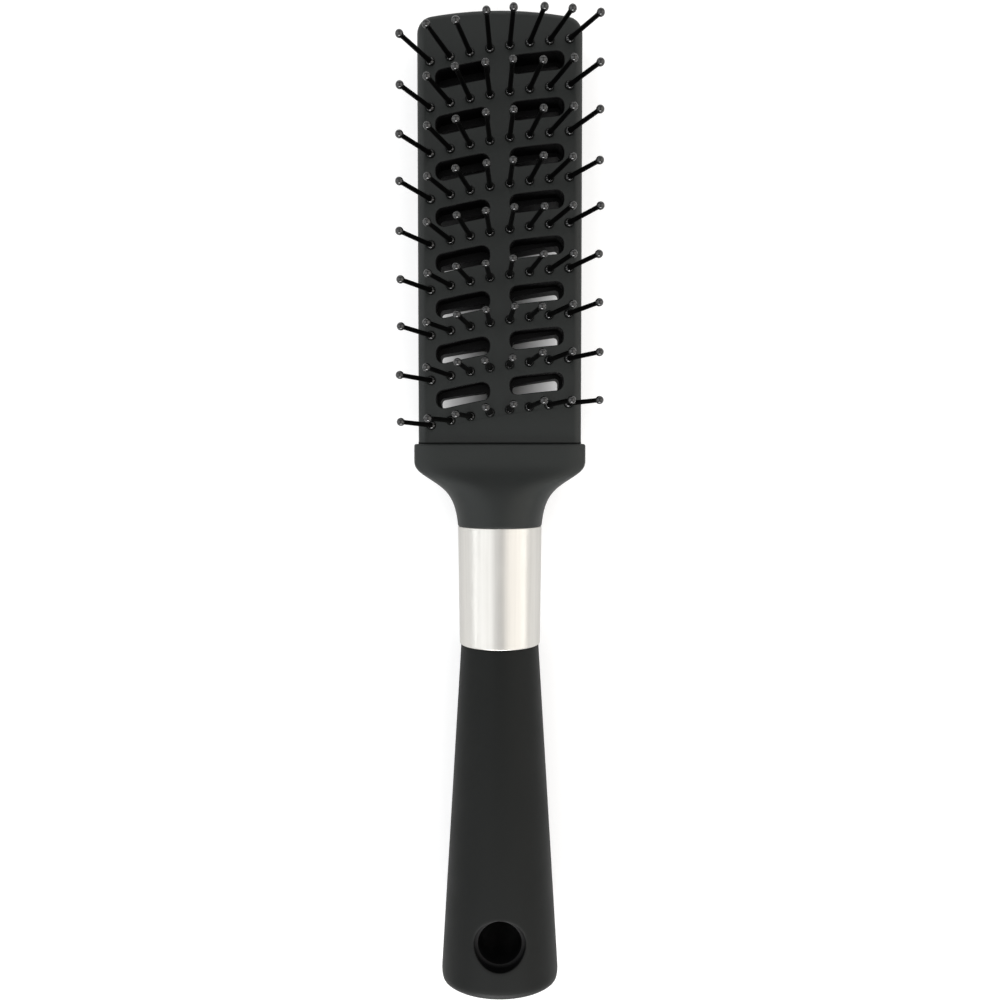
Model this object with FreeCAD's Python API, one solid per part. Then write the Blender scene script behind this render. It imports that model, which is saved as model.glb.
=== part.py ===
import FreeCAD
import Part

import math
import os

from FreeCAD import Vector

# A vent brush that lies on its back with its pins up. X runs across the head, Y from
# the handle to the head, and Z up. The origin is under the middle of the brush, on the
# surface that the end of the handle touches. All sizes are in millimetres.

# Head: two halves that meet on the brush's long axis
HEAD_LENGTH = 101.9
HEAD_WIDTH = 39.1
HEAD_THICKNESS = 11.5
HEAD_END_ARC_RADIUS = 95.0
HEAD_CORNER_RADIUS = 4.0
HEAD_EDGE_ROUND = 1.9
FACE_WALL = 2.0

# Rows: every row of pins and of vents follows the same slanting arc
PIN_ROWS = 9
PINS_EACH_SIDE = 4
COLUMN_PITCH = 4.67
ROW_ARC_RADIUS = 178.0
ROW_SLANT_DEG = 9.0
FIRST_ROW_BELOW_END = 9.02
LAST_ROW_ABOVE_SEAM = 7.8

# Vents: one each side of the middle, between each two rows. From half way between the
# rows they sit a little nearer the end of the head, the first ones more than the last
VENT_LENGTH = 12.7
VENT_WIDTH = 4.25
VENT_CENTRE_X = 8.75
VENT_CORNER_RADIUS = 1.5
FIRST_VENT_FORWARD = 0.65
LAST_VENT_FORWARD = 0.1
VENT_BACK_INSET = 0.35
VENT_BACK_END_INSET = 0.7

# Pin strips: a curved bar with a boss and a ball-tipped pin for each column
BAR_WIDTH = 2.6
BAR_HEIGHT = 2.0
BAR_END_MARGIN = 1.3
BOSS_RADIUS = 1.0
BOSS_ABOVE_FACE = 0.35
PIN_ROOT_RADIUS = 0.62
PIN_NECK_RADIUS = 0.47
PIN_BALL_RADIUS = 0.93
PIN_LENGTH_MIDDLE = 15.5
PIN_LENGTH_OUTER = 13.2
PIN_LEAN_OUTER_DEG = 24.5
CLAMP_RIB_WIDTH = 1.8

# Tongue of each head half, held in the collar
TONGUE_WIDTH = 30.0
TONGUE_THICKNESS = 10.0
TONGUE_LENGTH = 6.0

# Collar: a flat socket for the head that turns into a round neck
COLLAR_LENGTH = 20.0
COLLAR_PROUD = 1.15
COLLAR_STRAIGHT = 3.5
COLLAR_SHOULDER_DEPTH = 6.0
COLLAR_SHOULDER_POWER = 2.9
COLLAR_SQUARENESS = 7.0
COLLAR_EDGE_ROUND = 0.5
NECK_RADIUS = 10.3

# Sleeve: a thin metal tube between the collar and the grip
SLEEVE_LENGTH = 29.0
SLEEVE_END_RADIUS = 9.9
SLEEVE_BORE_RADIUS = 9.0
SPIGOT_LENGTH = 8.0

# Grip: round at the sleeve, oval at the end, with a stepped hole to hang it by
GRIP_LENGTH = 84.8
GRIP_TOP_RADIUS = 9.55
GRIP_END_WIDTH = 29.05
GRIP_END_THICKNESS = 24.5
GRIP_END_ROUND = 2.5
GRIP_END_ROUND_ACROSS = 1.6
GRIP_END_ROUND_ABOVE = 3.6
HANG_HOLE_RADIUS = 5.2
HANG_RIM_RADIUS = 6.2
HANG_RIM_DEPTH = 2.0
HANG_HOLE_FROM_END = 14.25

# Core rod: glued into the head, the collar and the grip
ROD_RADIUS = 4.0
ROD_IN_HEAD = 5.0
ROD_IN_GRIP = 30.0

# Room left between pieces that fit into each other
FIT_GAP = 0.1

# Flat facets that small rounds and free forms are drawn with, to keep the model light
CORNER_STEPS = 2
VENT_STEPS = 1
BAR_STEPS = 3
HEAD_CORNER_STEPS = 4
HEAD_ARCH_STEPS = 8
HEAD_EDGE_STEPS = 3
PIN_SIDES = 6
ROUND_SIDES = 32
COLLAR_STEPS = 8
END_ROUND_STEPS = 3

# Places that follow from the sizes
TOTAL_LENGTH = HEAD_LENGTH + COLLAR_LENGTH + SLEEVE_LENGTH + GRIP_LENGTH
AXIS_Z = GRIP_END_THICKNESS / 2
HEAD_TOP_Y = TOTAL_LENGTH / 2
ROW_PITCH = (HEAD_LENGTH - FIRST_ROW_BELOW_END - LAST_ROW_ABOVE_SEAM) / (PIN_ROWS - 1)
SEAM_Y = HEAD_TOP_Y - HEAD_LENGTH
NECK_END_Y = SEAM_Y - COLLAR_LENGTH
GRIP_TOP_Y = NECK_END_Y - SLEEVE_LENGTH
GRIP_END_Y = GRIP_TOP_Y - GRIP_LENGTH
HANG_HOLE_Y = GRIP_END_Y + HANG_HOLE_FROM_END
FACE_Z = AXIS_Z + HEAD_THICKNESS / 2
BACK_Z = AXIS_Z - HEAD_THICKNESS / 2
BAR_TOP_Z = FACE_Z - FACE_WALL
BAR_BOTTOM_Z = BAR_TOP_Z - BAR_HEIGHT
OUTER_COLUMN_X = (PINS_EACH_SIDE - 0.5) * COLUMN_PITCH
BAR_HALF_LENGTH = OUTER_COLUMN_X + BAR_END_MARGIN
ROW_SLANT = math.radians(ROW_SLANT_DEG)


def row_y(row):
    """Y of a row's arc at the middle of the head. Row 0 is the one nearest the end."""
    return SEAM_Y + LAST_ROW_ABOVE_SEAM + (PIN_ROWS - 1 - row) * ROW_PITCH


def vent_y(row):
    """Y, at the middle of the head, of the arc that the vents below a row follow."""
    share = row / (PIN_ROWS - 2)
    forward = FIRST_VENT_FORWARD + (LAST_VENT_FORWARD - FIRST_VENT_FORWARD) * share
    return row_y(row) - ROW_PITCH / 2 + forward


def on_arc(middle_y, x, out=0.0):
    """The point at x on the row arc through middle_y, or on the arc that lies outside it by out."""
    centre_x = ROW_ARC_RADIUS * math.sin(ROW_SLANT)
    centre_y = middle_y - ROW_ARC_RADIUS * math.cos(ROW_SLANT)
    rise = math.sqrt((ROW_ARC_RADIUS + out) ** 2 - (x - centre_x) ** 2)
    return Vector(x, centre_y + rise, 0)


def column_xs():
    """X of each pin of a row, from left to right."""
    return [(i + 0.5) * COLUMN_PITCH for i in range(-PINS_EACH_SIDE, PINS_EACH_SIDE)]


def eased_corner(before, corner, after, radius):
    """Points that round a corner of an outline in short straight steps."""
    back = (before - corner).normalize()
    ahead = (after - corner).normalize()
    half = back.getAngle(ahead) / 2
    centre = corner + (back + ahead).normalize() * (radius / math.sin(half))
    start = corner + back * (radius / math.tan(half)) - centre
    end = corner + ahead * (radius / math.tan(half)) - centre
    turn = start.getAngle(end)
    points = []
    for step in range(CORNER_STEPS + 1):
        share = step / CORNER_STEPS
        weight_start = math.sin((1 - share) * turn)
        weight_end = math.sin(share * turn)
        points.append(centre + (start * weight_start + end * weight_end) * (1 / math.sin(turn)))
    return points


def band(middle_y, x_from, x_to, half_width, corner_radius, z_from, z_to, steps=BAR_STEPS):
    """A bar with eased corners that follows the row arc from x_from to x_to."""
    xs = [x_from + (x_to - x_from) * i / steps for i in range(steps + 1)]
    low = [on_arc(middle_y, x, -half_width) for x in xs]
    high = [on_arc(middle_y, x, half_width) for x in reversed(xs)]
    outline = low + high
    radius = min(corner_radius, 0.9 * half_width)
    corners = (0, steps, steps + 1, 2 * steps + 1)
    points = []
    for i, point in enumerate(outline):
        if i in corners:
            points += eased_corner(outline[i - 1], point, outline[(i + 1) % len(outline)], radius)
        else:
            points.append(point)
    points.append(points[0])
    face = Part.Face(Part.makePolygon(points))
    face.translate(Vector(0, 0, z_from))
    return face.extrude(Vector(0, 0, z_to - z_from))


def vents(inset, end_inset, z_from, z_to):
    """The vents of one half of the head, taken in along their sides and at their ends."""
    half_length = VENT_LENGTH / 2 - end_inset
    half_width = VENT_WIDTH / 2 - inset
    solids = []
    for row in range(PIN_ROWS - 1):
        for side in (-1, 1):
            centre = side * VENT_CENTRE_X
            solids.append(band(vent_y(row), centre - half_length, centre + half_length,
                               half_width, VENT_CORNER_RADIUS, z_from, z_to, VENT_STEPS))
    return solids


def panel(corners):
    """One flat face through the corners, or two where four corners aren't in one plane."""
    first, second, third, last = corners
    if abs((second - first).cross(third - first).dot(last - first)) < 1e-9:
        return [Part.Face(Part.makePolygon([first, second, third, last, first]))]
    return [Part.Face(Part.makePolygon([first, second, third, first])),
            Part.Face(Part.makePolygon([first, third, last, first]))]


def skinned(loops):
    """A closed solid through loops of points that lie one above the other."""
    faces = [Part.Face(Part.makePolygon(loop + [loop[0]])) for loop in (loops[0], loops[-1])]
    for low, high in zip(loops, loops[1:]):
        for i in range(len(low)):
            j = (i + 1) % len(low)
            faces += panel([low[i], low[j], high[j], high[i]])
    solid = Part.Solid(Part.Shell(faces))
    solid.fix(1e-6, 1e-6, 1e-6)
    return solid


def turned(rings):
    """A slim upright form through rings of (height, radius)."""
    angles = [2 * math.pi * i / PIN_SIDES for i in range(PIN_SIDES)]
    return skinned([[Vector(radius * math.cos(a), radius * math.sin(a), height) for a in angles]
                    for height, radius in rings])


def upright_loop(y, half_width, half_depth, power=2):
    """An outline across the brush's axis: an oval at power 2, and squarer as the power grows."""
    points = []
    for i in range(ROUND_SIDES):
        angle = 2 * math.pi * i / ROUND_SIDES
        cosine = math.cos(angle)
        sine = math.sin(angle)
        x = half_width * math.copysign(abs(cosine) ** (2 / power), cosine)
        z = half_depth * math.copysign(abs(sine) ** (2 / power), sine)
        points.append(Vector(x, y, AXIS_Z + z))
    return points


def lean_of(x):
    """How far the pin at x leans outwards, in degrees."""
    return PIN_LEAN_OUTER_DEG * x / OUTER_COLUMN_X


def length_of(x):
    """Length of the pin at x, from the face to the middle of its ball."""
    share = (x / OUTER_COLUMN_X) ** 2
    return PIN_LENGTH_MIDDLE + (PIN_LENGTH_OUTER - PIN_LENGTH_MIDDLE) * share


def pin(x):
    """A tapered shaft with a ball tip, standing at the origin and leaning for its column."""
    length = length_of(x)
    ball = PIN_BALL_RADIUS
    ease = ball * math.sin(math.radians(45))
    rings = [
        (0, PIN_ROOT_RADIUS),
        (length - ball, PIN_NECK_RADIUS),
        (length, ball),
        (length + ease, ease),
    ]
    solid = turned(rings)
    solid.rotate(Vector(0, 0, 0), Vector(0, 1, 0), lean_of(x))
    return solid


def pin_strip(row):
    """One moulding: the bar behind the face, its bosses through the face, and its pins."""
    middle_y = row_y(row)
    bar = band(middle_y, -BAR_HALF_LENGTH, BAR_HALF_LENGTH, BAR_WIDTH / 2, BAR_WIDTH / 2,
               BAR_BOTTOM_Z, BAR_TOP_Z)
    pieces = []
    for x in column_xs():
        place = on_arc(middle_y, x)
        boss = turned([(BAR_TOP_Z - BAR_HEIGHT / 2, BOSS_RADIUS),
                       (FACE_Z + BOSS_ABOVE_FACE, BOSS_RADIUS)])
        boss.translate(place)
        shaft = pin(x)
        shaft.translate(place + Vector(0, 0, FACE_Z))
        pieces += [boss, shaft]
    return bar.fuse(pieces).removeSplitter()


def head_outline(z, inset):
    """Outline of the head at a height, taken in by inset all round except at the seam."""
    half = HEAD_WIDTH / 2
    arch_y = HEAD_TOP_Y - HEAD_END_ARC_RADIUS
    corner_x = half - HEAD_CORNER_RADIUS
    reach = HEAD_END_ARC_RADIUS - HEAD_CORNER_RADIUS
    lean = math.asin(corner_x / reach)
    corner_y = arch_y + reach * math.cos(lean)
    points = [Vector(half - inset, SEAM_Y, z)]
    for i in range(HEAD_CORNER_STEPS + 1):
        turn = (math.pi / 2 - lean) * i / HEAD_CORNER_STEPS
        radius = HEAD_CORNER_RADIUS - inset
        points.append(Vector(corner_x + radius * math.cos(turn), corner_y + radius * math.sin(turn), z))
    for i in range(1, HEAD_ARCH_STEPS // 2):
        turn = lean * (1 - 2 * i / HEAD_ARCH_STEPS)
        radius = HEAD_END_ARC_RADIUS - inset
        points.append(Vector(radius * math.sin(turn), arch_y + radius * math.cos(turn), z))
    middle = Vector(0, HEAD_TOP_Y - inset, z)
    return points + [middle] + [Vector(-p.x, p.y, z) for p in reversed(points)]


def head_block():
    """The front half of the head before it is cut: arched end, round corners and soft edge."""
    loops = [head_outline(AXIS_Z, 0)]
    for i in range(HEAD_EDGE_STEPS + 1):
        turn = math.pi / 2 * i / HEAD_EDGE_STEPS
        loops.append(head_outline(FACE_Z - HEAD_EDGE_ROUND * (1 - math.sin(turn)),
                                  HEAD_EDGE_ROUND * (1 - math.cos(turn))))
    return skinned(loops)


def tongue():
    """The flat tail of a head half that the collar holds."""
    overlap = HEAD_CORNER_RADIUS
    return Part.makeBox(TONGUE_WIDTH, TONGUE_LENGTH + overlap, TONGUE_THICKNESS / 2,
                        Vector(-TONGUE_WIDTH / 2, SEAM_Y - TONGUE_LENGTH, AXIS_Z))


def along_axis(radius, y_from, y_to):
    """A round bar on the brush's long axis."""
    return Part.makeCylinder(radius, y_to - y_from, Vector(0, y_from, AXIS_Z), Vector(0, 1, 0))


def rod_socket():
    """The room that the core rod needs in the head."""
    return along_axis(ROD_RADIUS + FIT_GAP, SEAM_Y - TONGUE_LENGTH - FIT_GAP,
                      SEAM_Y + ROD_IN_HEAD + FIT_GAP)


def head_front():
    """The half that faces up, with grooves for the strips behind its face."""
    cuts = vents(0, 0, AXIS_Z - FIT_GAP, FACE_Z + FIT_GAP)
    reach = BAR_HALF_LENGTH + FIT_GAP
    half_width = BAR_WIDTH / 2 + FIT_GAP
    for row in range(PIN_ROWS):
        cuts.append(band(row_y(row), -reach, reach, half_width, half_width,
                         AXIS_Z - FIT_GAP, BAR_TOP_Z))
        for x in column_xs():
            hole = turned([(BAR_TOP_Z - FIT_GAP, BOSS_RADIUS + FIT_GAP),
                           (FACE_Z + FIT_GAP, BOSS_RADIUS + FIT_GAP)])
            hole.translate(on_arc(row_y(row), x))
            cuts.append(hole)
    cuts.append(rod_socket())
    return head_block().fuse(tongue()).cut(cuts)


def head_back():
    """The half that faces down, with a rib under each strip and slightly smaller vents."""
    half = head_block().fuse(tongue())
    half = half.mirror(Vector(0, 0, AXIS_Z), Vector(0, 0, 1))
    ribs = []
    for row in range(PIN_ROWS):
        rib_end = BAR_HALF_LENGTH - BAR_END_MARGIN
        ribs.append(band(row_y(row), -rib_end, rib_end, CLAMP_RIB_WIDTH / 2, CLAMP_RIB_WIDTH / 2,
                         AXIS_Z - FIT_GAP, BAR_BOTTOM_Z))
    cuts = vents(VENT_BACK_INSET, VENT_BACK_END_INSET, BACK_Z - FIT_GAP, AXIS_Z + FIT_GAP)
    cuts.append(rod_socket())
    return half.fuse(ribs).cut(cuts).removeSplitter()


def collar_loop(down, inset=0.0):
    """Outline of the collar at a distance down from the seam, from flat and wide to round."""
    def fade(depth):
        past = max(0, depth - COLLAR_STRAIGHT)
        return 1 / (1 + (past / COLLAR_SHOULDER_DEPTH) ** COLLAR_SHOULDER_POWER)

    least = fade(COLLAR_LENGTH)
    share = (fade(down) - least) / (1 - least)
    half_width = NECK_RADIUS + (HEAD_WIDTH / 2 + COLLAR_PROUD - NECK_RADIUS) * share
    half_depth = NECK_RADIUS + (HEAD_THICKNESS / 2 + COLLAR_PROUD - NECK_RADIUS) * share
    power = 2 + (COLLAR_SQUARENESS - 2) * share ** 2
    return upright_loop(SEAM_Y - down, half_width - inset, half_depth - inset, power)


def collar():
    """Shoulders that hold the head's tongue, a round neck, and a spigot into the sleeve."""
    step = (COLLAR_LENGTH - COLLAR_STRAIGHT) / COLLAR_STEPS
    loops = [collar_loop(0, COLLAR_EDGE_ROUND), collar_loop(COLLAR_EDGE_ROUND)]
    loops += [collar_loop(COLLAR_STRAIGHT + step * i) for i in range(COLLAR_STEPS + 1)]
    body = skinned(loops)
    spigot = along_axis(SLEEVE_BORE_RADIUS - FIT_GAP, NECK_END_Y - SPIGOT_LENGTH,
                        NECK_END_Y + COLLAR_LENGTH / 4)
    width = TONGUE_WIDTH + 2 * FIT_GAP
    depth = TONGUE_THICKNESS + 2 * FIT_GAP
    socket = Part.makeBox(width, TONGUE_LENGTH + 2 * FIT_GAP, depth,
                          Vector(-width / 2, SEAM_Y - TONGUE_LENGTH - FIT_GAP, AXIS_Z - depth / 2))
    bore = along_axis(ROD_RADIUS + FIT_GAP, NECK_END_Y - SPIGOT_LENGTH - FIT_GAP, SEAM_Y + FIT_GAP)
    return body.fuse(spigot).cut([socket, bore])


def sleeve():
    """A plain tapered tube over the spigots of the collar and the grip."""
    tube = skinned([upright_loop(NECK_END_Y, NECK_RADIUS, NECK_RADIUS),
                    upright_loop(GRIP_TOP_Y, SLEEVE_END_RADIUS, SLEEVE_END_RADIUS)])
    return tube.cut(along_axis(SLEEVE_BORE_RADIUS, GRIP_TOP_Y - FIT_GAP, NECK_END_Y + FIT_GAP))


def grip_size(y):
    """Half the grip's width and half its thickness at y."""
    share = min(1, (GRIP_TOP_Y - y) / (GRIP_LENGTH - GRIP_END_ROUND))
    half_width = GRIP_TOP_RADIUS + (GRIP_END_WIDTH / 2 - GRIP_TOP_RADIUS) * share
    half_depth = GRIP_TOP_RADIUS + (GRIP_END_THICKNESS / 2 - GRIP_TOP_RADIUS) * share
    return half_width, half_depth


def grip_body():
    """The grip before it is bored: round at its top, oval and softly rounded at its end."""
    loops = [upright_loop(GRIP_TOP_Y, *grip_size(GRIP_TOP_Y))]
    for i in range(END_ROUND_STEPS + 1):
        turn = math.pi / 2 * i / END_ROUND_STEPS
        y = GRIP_END_Y + GRIP_END_ROUND * (1 - math.sin(turn))
        half_width, half_depth = grip_size(y)
        ease = 1 - math.cos(turn)
        loops.append(upright_loop(y, half_width - GRIP_END_ROUND_ACROSS * ease,
                                  half_depth - GRIP_END_ROUND_ABOVE * ease))
    return skinned(loops)


def grip():
    """The handle, with a spigot into the sleeve, a blind bore for the rod and a stepped hole."""
    spigot = along_axis(SLEEVE_BORE_RADIUS - FIT_GAP, GRIP_TOP_Y - SPIGOT_LENGTH,
                        GRIP_TOP_Y + SPIGOT_LENGTH)
    bore = along_axis(ROD_RADIUS + FIT_GAP, GRIP_TOP_Y - ROD_IN_GRIP - FIT_GAP,
                      GRIP_TOP_Y + SPIGOT_LENGTH + FIT_GAP)
    hole = Part.makeCylinder(HANG_HOLE_RADIUS, GRIP_END_THICKNESS + 2, Vector(0, HANG_HOLE_Y, -1))
    floor = grip_size(HANG_HOLE_Y)[1] - HANG_RIM_DEPTH
    rims = [Part.makeCylinder(HANG_RIM_RADIUS, GRIP_END_THICKNESS, Vector(0, HANG_HOLE_Y, AXIS_Z + floor)),
            Part.makeCylinder(HANG_RIM_RADIUS, GRIP_END_THICKNESS, Vector(0, HANG_HOLE_Y, AXIS_Z - floor),
                              Vector(0, 0, -1))]
    return grip_body().fuse(spigot).cut([bore, hole] + rims)


def core_rod():
    """The rod that ties the head, the collar, the sleeve and the grip together."""
    return along_axis(ROD_RADIUS, GRIP_TOP_Y - ROD_IN_GRIP, SEAM_Y + ROD_IN_HEAD)


def all_parts():
    """Every node of the brush by name."""
    parts = {
        "head_front": head_front(),
        "head_back": head_back(),
        "collar": collar(),
        "sleeve": sleeve(),
        "grip": grip(),
        "core_rod": core_rod(),
    }
    for row in range(PIN_ROWS):
        parts[f"pin_strip_{row + 1}"] = pin_strip(row)
    return parts


os.makedirs("parts", exist_ok=True)
for name, shape in all_parts().items():
    shape.exportStep(f"parts/{name}.step")
    print(name, "solids", len(shape.Solids), "volume", round(shape.Volume, 1), "valid", shape.isValid())
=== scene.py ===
"""Looks of a vent brush that lies on its back with its pins up.

Sizes in the classes below are in millimetres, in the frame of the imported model: X across
the head, Y from the handle to the head, Z up. Meshes are written in metres.
"""

from __future__ import annotations

import logging
import math
from dataclasses import dataclass, field
from enum import Enum
from typing import ClassVar, Mapping, Sequence

import bmesh
import bpy
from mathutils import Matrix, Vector, geometry

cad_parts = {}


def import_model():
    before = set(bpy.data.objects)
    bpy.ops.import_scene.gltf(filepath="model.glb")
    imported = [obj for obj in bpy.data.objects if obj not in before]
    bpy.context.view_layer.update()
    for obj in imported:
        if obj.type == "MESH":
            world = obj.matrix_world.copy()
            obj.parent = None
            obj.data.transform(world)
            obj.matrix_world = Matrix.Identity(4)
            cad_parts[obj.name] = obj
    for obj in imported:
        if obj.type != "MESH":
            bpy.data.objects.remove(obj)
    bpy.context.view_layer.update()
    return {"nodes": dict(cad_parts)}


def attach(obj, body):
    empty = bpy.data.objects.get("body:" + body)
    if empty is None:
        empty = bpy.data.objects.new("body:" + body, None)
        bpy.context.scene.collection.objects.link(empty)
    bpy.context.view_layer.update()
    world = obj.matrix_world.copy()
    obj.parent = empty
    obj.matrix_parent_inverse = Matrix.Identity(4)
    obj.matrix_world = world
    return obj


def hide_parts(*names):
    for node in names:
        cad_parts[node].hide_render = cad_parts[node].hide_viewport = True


LOG = logging.getLogger("vent_brush")
MM = 0.001
FIT_GAP = 0.1

Loop = list[int]
Points = list[Vector]
Colour = tuple[float, float, float]
Material = bpy.types.Material
Object = bpy.types.Object
Socket = bpy.types.NodeSocket
Tree = bpy.types.NodeTree


class Finish(Enum):
    """Names of the record's material slots, one named for each visible piece."""

    SOFT_BLACK = "soft_black"
    GLOSS_BLACK = "gloss_black"
    SILVER = "silver"


class Side(Enum):
    """Which half of the head a piece belongs to, as the direction it faces along Z."""

    FRONT = 1
    BACK = -1


# Outlines


def quarter(radius: float, steps: int) -> list[tuple[float, float]]:
    """Walks round a quarter circle that eases one surface into another.

    Args:
        radius: The radius of the round.
        steps: How many straight steps it has.

    Returns:
        For each point, what is still to go along the first surface's direction, and how
        far the round has left that surface.
    """
    turns = [math.pi / 2 * i / steps for i in range(steps + 1)]
    return [(radius * (1 - math.sin(turn)), radius * (1 - math.cos(turn))) for turn in turns]


def circle(centre: Vector, radius: float, z: float, sides: int) -> Points:
    """Outlines a round hole.

    Args:
        centre: The middle, seen from above.
        radius: The radius.
        z: The height.
        sides: How many points the outline has.

    Returns:
        The outline's points.
    """
    turns = [2 * math.pi * i / sides for i in range(sides)]
    return [Vector((centre.x + radius * math.cos(a), centre.y + radius * math.sin(a), z)) for a in turns]


def raised(points: Sequence[Vector], z: float) -> Points:
    """Copies an outline to a height."""
    return [Vector((p.x, p.y, z)) for p in points]


def eased_corner(before: Vector, corner: Vector, after: Vector, radius: float, steps: int) -> Points:
    """Rounds a corner of an outline.

    Args:
        before: The point before the corner.
        corner: The corner.
        after: The point after the corner.
        radius: The radius of the round.
        steps: How many straight steps the round has.

    Returns:
        The points of the round, in order.
    """
    back = (before - corner).normalized()
    ahead = (after - corner).normalized()
    half = back.angle(ahead) / 2
    centre = corner + (back + ahead).normalized() * (radius / math.sin(half))
    start = corner + back * (radius / math.tan(half)) - centre
    end = corner + ahead * (radius / math.tan(half)) - centre
    turn = start.angle(end)
    points = []
    for step in range(steps + 1):
        share = step / steps
        blend = start * math.sin((1 - share) * turn) + end * math.sin(share * turn)
        points.append(centre + blend / math.sin(turn))
    return points


def walked(edges: set[tuple[int, int]]) -> Loop:
    """Puts the edges of a closed line in order.

    Args:
        edges: The edges, from corner to corner, all in the same direction.

    Returns:
        The corners, each one joined to the next.
    """
    following = dict(edges)
    corners = [min(following)]
    while following[corners[-1]] != corners[0]:
        corners.append(following[corners[-1]])
    return corners


# Meshes


class Shell:
    """A closed mesh that is put together from loops of points, in millimetres."""

    MERGE_DISTANCE: ClassVar[float] = 1e-7
    TRIANGLES_INSIDE: ClassVar[int] = 1
    FACE_WEIGHT: ClassVar[int] = 80
    SHARP_DEG: ClassVar[float] = 35.0

    def __init__(self) -> None:
        """Starts an empty shell."""
        self.points: Points = []
        self.faces: list[tuple[int, ...]] = []
        self.inner: set[int] = set()

    def loop(self, points: Sequence[Vector]) -> Loop:
        """Adds a closed loop of points.

        Args:
            points: The loop's corners in order.

        Returns:
            The indices of the new points.
        """
        start = len(self.points)
        self.points += [Vector(p) for p in points]
        return list(range(start, len(self.points)))

    def cap(self, corners: Sequence[int], inner: bool = False) -> None:
        """Adds one face.

        Args:
            corners: The face's corners in order.
            inner: Whether the face takes the bare finish, which is darker than the coating to paint shade.
        """
        if inner:
            self.inner.add(len(self.faces))
        self.faces.append(tuple(corners))

    def bridge(self, low: Loop, high: Loop, inner: bool = False) -> None:
        """Joins two loops of the same length with a band of quads.

        Args:
            low: The first loop.
            high: The second loop.
            inner: Whether the band takes the bare finish inside a hole, which is darker than the coating to
                paint its shade.
        """
        for i, corner in enumerate(low):
            j = (i + 1) % len(low)
            self.cap((corner, low[j], high[j], high[i]), inner)

    def skin(self, loops: Sequence[Loop], inner: bool = False) -> None:
        """Joins each loop to the next one.

        Args:
            loops: Loops of the same length, one after the other.
            inner: Whether the bands take the bare finish inside a hole, which is darker than the coating to
                paint its shade.
        """
        for low, high in zip(loops, loops[1:]):
            self.bridge(low, high, inner)

    def plate(self, outline: Loop, holes: Sequence[Loop], inner: bool = False) -> None:
        """Fills an outline around its holes. All of them turn left, seen from above.

        Args:
            outline: The outer loop.
            holes: Loops that stay open.
            inner: Whether the surface takes the bare finish, which is darker than the coating to paint shade.
        """
        order: Loop = []
        areas: list[Loop] = []
        for ring in (outline, *holes):
            areas.append(list(range(len(order), len(order) + len(ring))))
            order += ring
        flat = [self.points[i].to_2d() for i in order]
        made = geometry.delaunay_2d_cdt(flat, [], areas, self.TRIANGLES_INSIDE, self.MERGE_DISTANCE)
        faces, corners, covering = made[2], made[3], made[5]
        for face, areas_over_it in zip(faces, covering):
            if areas_over_it == [0]:
                self.cap([order[corners[i][0]] for i in face], inner)

    def build(self, name: str, weigh: bool = True) -> Object:
        """Makes the Blender object, with its normals pointing outwards.

        Args:
            name: The object's name.
            weigh: Whether large faces count for more in the shading.

        Returns:
            The new object, at the origin.
        """
        mesh = bpy.data.meshes.new(name)
        mesh.from_pydata([tuple(p * MM) for p in self.points], [], self.faces)
        for i, polygon in enumerate(mesh.polygons):
            polygon.material_index = 1 if i in self.inner else 0
        work = bmesh.new()
        work.from_mesh(mesh)
        bmesh.ops.remove_doubles(work, verts=work.verts, dist=self.MERGE_DISTANCE)
        bmesh.ops.recalc_face_normals(work, faces=work.faces)
        work.to_mesh(mesh)
        work.free()
        mesh.shade_smooth()
        mesh.set_sharp_from_angle(angle=math.radians(self.SHARP_DEG))
        piece = in_scene(name, mesh)
        if weigh:
            weighted = piece.modifiers.new("Even shading", "WEIGHTED_NORMAL")
            weighted.keep_sharp = True
            weighted.weight = self.FACE_WEIGHT
        return piece


def in_scene(name: str, data: bpy.types.ID) -> Object:
    """Adds an object to the scene.

    Args:
        name: The object's name.
        data: Its mesh, lamp or camera.

    Returns:
        The object.
    """
    made = bpy.data.objects.new(name, data)
    bpy.context.scene.collection.objects.link(made)
    return made


def settle(piece: Object, finish: Finish, node: str, *materials: Material) -> None:
    """Puts a finished piece in place of its node, on the body that carries it.

    Args:
        piece: The piece.
        finish: The record's material slot for the piece; not used.
        node: The node that it stands for.
        materials: Its outer finish and the one inside its holes, unless it has them.
    """
    for material in materials:
        piece.data.materials.append(material)
    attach(piece, "root")
    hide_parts(node)
    LOG.info("%s stands for %s", piece.name, node)


# Node trees


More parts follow.
